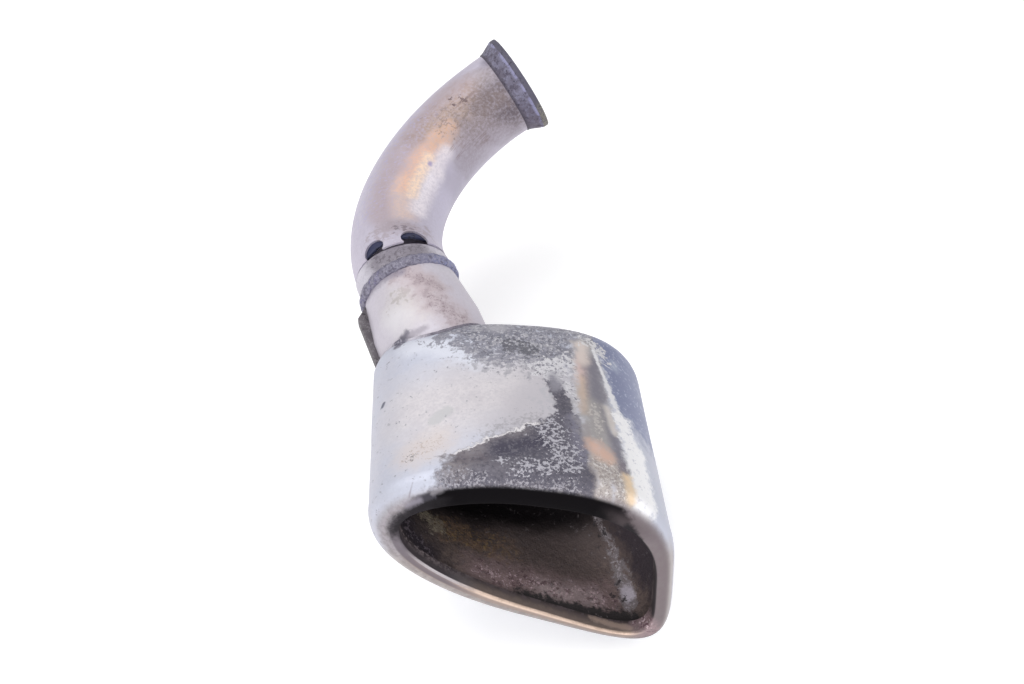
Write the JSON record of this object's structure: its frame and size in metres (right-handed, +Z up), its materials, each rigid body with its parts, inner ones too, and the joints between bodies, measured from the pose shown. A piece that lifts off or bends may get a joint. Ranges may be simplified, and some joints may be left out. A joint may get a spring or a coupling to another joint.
{
  "type": "exhaust tip",
  "caption": "Wedge-shaped car exhaust tip with a rolled lip, an inner duct, a widening neck and a bent inlet pipe that ends in a flared flange.",
  "frame": {"origin": "centre of the flange's sealing face, on the flange's axis", "axes": "+Y along the casing's axis from the mouth towards its back, so the mouth looks towards -Y; +X to the right when looking into the back from the mouth; +Z up"},
  "size_m": [0.1605, 0.3848, 0.1533],
  "materials": {
    "casing": "polished, sooty and stained in places",
    "duct": "matt soot",
    "neck": "satin with brown stains",
    "weld": "rough weld",
    "plate": "dull grey",
    "collar": "satin",
    "pipe": "satin with heat tints",
    "flange": "dull, pitted"
  },
  "bodies": {
    "root": {"tip_shell": "casing", "inner_duct": "duct", "neck_pipe": "neck", "neck_weld": "weld", "support_saddle": "plate", "collar": "collar", "joint_weld": "weld", "inlet_pipe": "pipe", "inlet_flange": "flange"}
  },
  "joints": []
}
